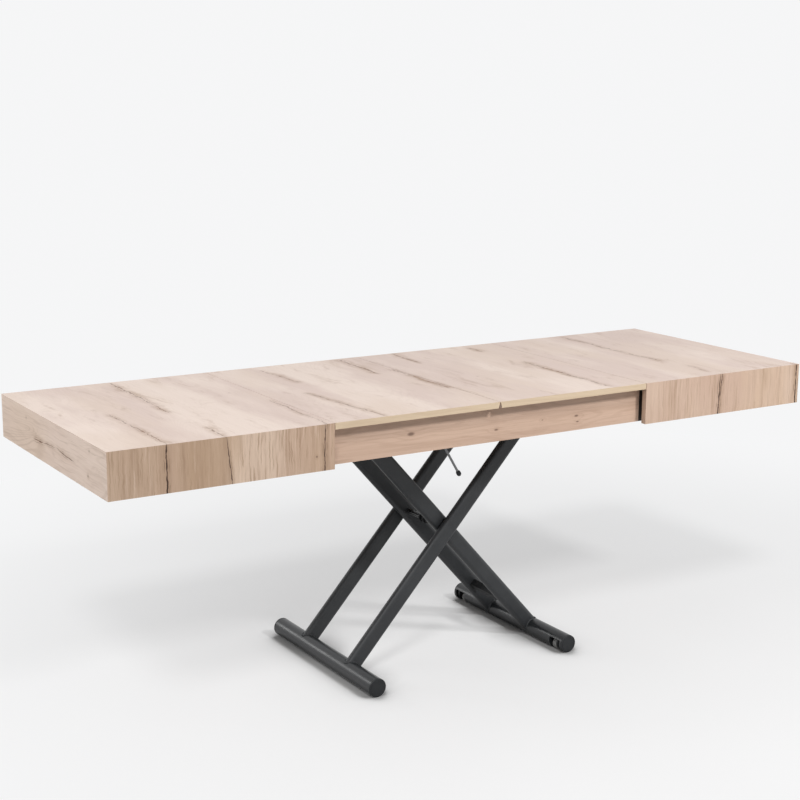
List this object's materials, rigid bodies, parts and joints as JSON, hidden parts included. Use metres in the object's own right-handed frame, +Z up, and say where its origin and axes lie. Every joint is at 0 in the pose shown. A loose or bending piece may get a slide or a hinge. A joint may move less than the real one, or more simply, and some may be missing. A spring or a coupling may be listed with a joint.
{
  "type": "convertible coffee dining table",
  "caption": "Extending oak-look table on a black scissor base that lowers it from dining to coffee height; its end sections slide in and their leaves fold over.",
  "frame": {"origin": "floor point under the middle of the extended top", "axes": "+X along the table towards the rolling foot, -Y the front with the lever, +Z up"},
  "size_m": [2.09, 0.723, 0.76],
  "materials": {
    "oak_laminate": "matt oak laminate",
    "oak_edge": "plain edge band",
    "rail_oak": "matt oak laminate, grain along the rail",
    "bare_board": "bare board",
    "black_steel": "satin black powder coat",
    "zinc_steel": "zinc plated",
    "spring_rod": "polished rod",
    "spring_body": "black enamel",
    "black_plastic": "black moulded plastic",
    "wheel_tread": "dark grey tread",
    "nylon": "white nylon",
    "hinge_brass": "plain brass",
    "lever_steel": "dark grey rod"
  },
  "bodies": {
    "floor_foot": {"foot_axle": "zinc_steel", "fixed_foot_caps": "black_plastic"},
    "outer_frame": {"fixed_foot_bar": "black_steel", "foot_bushes": "nylon", "outer_leg_front": "black_steel", "outer_leg_back": "black_steel", "centre_axle": "zinc_steel", "axle_washers": "zinc_steel", "spring_clevis": "black_steel", "slide_axle": "zinc_steel"},
    "front_roller": {"roller_front": "nylon"},
    "back_roller": {"roller_back": "nylon"},
    "inner_frame": {"rolling_foot_bar": "black_steel", "rolling_foot_caps": "black_plastic", "wheel_pins": "zinc_steel", "inner_leg_front": "black_steel", "inner_leg_back": "black_steel", "spring_cross_bar": "black_steel", "gas_spring_cylinder": "spring_body"},
    "front_wheel": {"wheel_front": "wheel_tread"},
    "back_wheel": {"wheel_back": "wheel_tread"},
    "spring_rod": {"gas_spring_rod": "spring_rod"},
    "chassis": {"chassis_rail_front": "rail_oak", "chassis_rail_back": "rail_oak", "chassis_cross_rails": "bare_board", "chassis_bearers": "bare_board", "centre_batten": "bare_board", "pivot_brackets": "black_steel", "upper_pivot_axle": "zinc_steel", "pivot_spacers": "zinc_steel", "slide_channels": "zinc_steel", "lever_bracket": "black_steel", "left_runner_fixed": "zinc_steel", "right_runner_fixed": "zinc_steel"},
    "lever": {"release_lever": "lever_steel", "lever_knob": "black_plastic"},
    "left_runner": {"left_runner_middle": "zinc_steel"},
    "left_end": {"left_top": "oak_laminate", "left_front_apron": "oak_laminate", "left_back_apron": "oak_laminate", "left_end_panel": "oak_laminate", "left_carriers": "bare_board", "left_runner_end": "zinc_steel", "left_hinge_barrels": "hinge_brass"},
    "left_leaf": {"left_leaf_board": "oak_laminate", "left_leaf_edge_bands": "oak_edge", "left_leaf_hinge_barrels": "hinge_brass"},
    "right_runner": {"right_runner_middle": "zinc_steel"},
    "right_end": {"right_top": "oak_laminate", "right_front_apron": "oak_laminate", "right_back_apron": "oak_laminate", "right_end_panel": "oak_laminate", "right_carriers": "bare_board", "right_runner_end": "zinc_steel", "right_hinge_barrels": "hinge_brass"},
    "right_leaf": {"right_leaf_board": "oak_laminate", "right_leaf_edge_bands": "oak_edge", "right_leaf_hinge_barrels": "hinge_brass"}
  },
  "joints": [
    {"name": "lift", "type": "hinge", "parent": "floor_foot", "child": "outer_frame", "pos_m": [-0.299, 0, 0.025], "axis": [0, 1, 0], "range_deg": [0, 21]},
    {"name": "leg_crossing", "type": "hinge", "parent": "outer_frame", "child": "inner_frame", "pos_m": [0.008, 0, 0.366], "axis": [0, 1, 0], "range_deg": [-42.01, 0]},
    {"name": "top_pivot", "type": "hinge", "parent": "inner_frame", "child": "chassis", "pos_m": [-0.299, 0, 0.707], "axis": [0, 1, 0], "range_deg": [0, 21.01]},
    {"name": "spring_stroke", "type": "slide", "parent": "inner_frame", "child": "spring_rod", "axis": [0.6691, 0, -0.7432], "range_m": [0, 0.02304]},
    {"name": "front_roller_spin", "type": "hinge", "parent": "outer_frame", "child": "front_roller", "pos_m": [0.315, -0.142, 0.707], "axis": [0, 1, 0], "continuous": true},
    {"name": "back_roller_spin", "type": "hinge", "parent": "outer_frame", "child": "back_roller", "pos_m": [0.315, 0.142, 0.707], "axis": [0, 1, 0], "continuous": true},
    {"name": "front_wheel_spin", "type": "hinge", "parent": "inner_frame", "child": "front_wheel", "pos_m": [0.31336, -0.2245, 0.01615], "axis": [0, 1, 0], "continuous": true},
    {"name": "back_wheel_spin", "type": "hinge", "parent": "inner_frame", "child": "back_wheel", "pos_m": [0.31336, 0.2245, 0.01615], "axis": [0, 1, 0], "continuous": true},
    {"name": "lever_swing", "type": "hinge", "parent": "chassis", "child": "lever", "pos_m": [-0.0867, -0.186, 0.672], "axis": [0, -1, 0], "range_deg": [0, 15], "stiffness_Nm_per_rad": 1.5, "springref_deg": -11.46},
    {"name": "left_end_slide", "type": "slide", "parent": "chassis", "child": "left_end", "axis": [1, 0, 0], "range_m": [0, 0.477]},
    {"name": "left_runner_slide", "type": "slide", "parent": "chassis", "child": "left_runner", "axis": [1, 0, 0], "range_m": [0, 0.2386]},
    {"name": "left_leaf_fold", "type": "hinge", "parent": "left_end", "child": "left_leaf", "pos_m": [-0.477, 0, 0.76015], "axis": [0, -1, 0], "range_deg": [0, 180.01]},
    {"name": "right_end_slide", "type": "slide", "parent": "chassis", "child": "right_end", "axis": [-1, 0, 0], "range_m": [0, 0.477]},
    {"name": "right_runner_slide", "type": "slide", "parent": "chassis", "child": "right_runner", "axis": [-1, 0, 0], "range_m": [0, 0.2386]},
    {"name": "right_leaf_fold", "type": "hinge", "parent": "right_end", "child": "right_leaf", "pos_m": [0.477, 0, 0.76015], "axis": [0, 1, 0], "range_deg": [0, 180.01]}
  ],
  "couplings": [
    {"joint": "leg_crossing", "follows": "lift", "ratio": -2},
    {"joint": "top_pivot", "follows": "lift", "ratio": 1},
    {"joint": "spring_stroke", "follows": "lift", "m_per_rad": 0.062577},
    {"joint": "left_runner_slide", "follows": "left_end_slide", "ratio": 0.5},
    {"joint": "left_leaf_fold", "follows": "left_end_slide", "rad_per_m": 6.5861},
    {"joint": "right_runner_slide", "follows": "right_end_slide", "ratio": 0.5},
    {"joint": "right_leaf_fold", "follows": "right_end_slide", "rad_per_m": 6.5861}
  ]
}
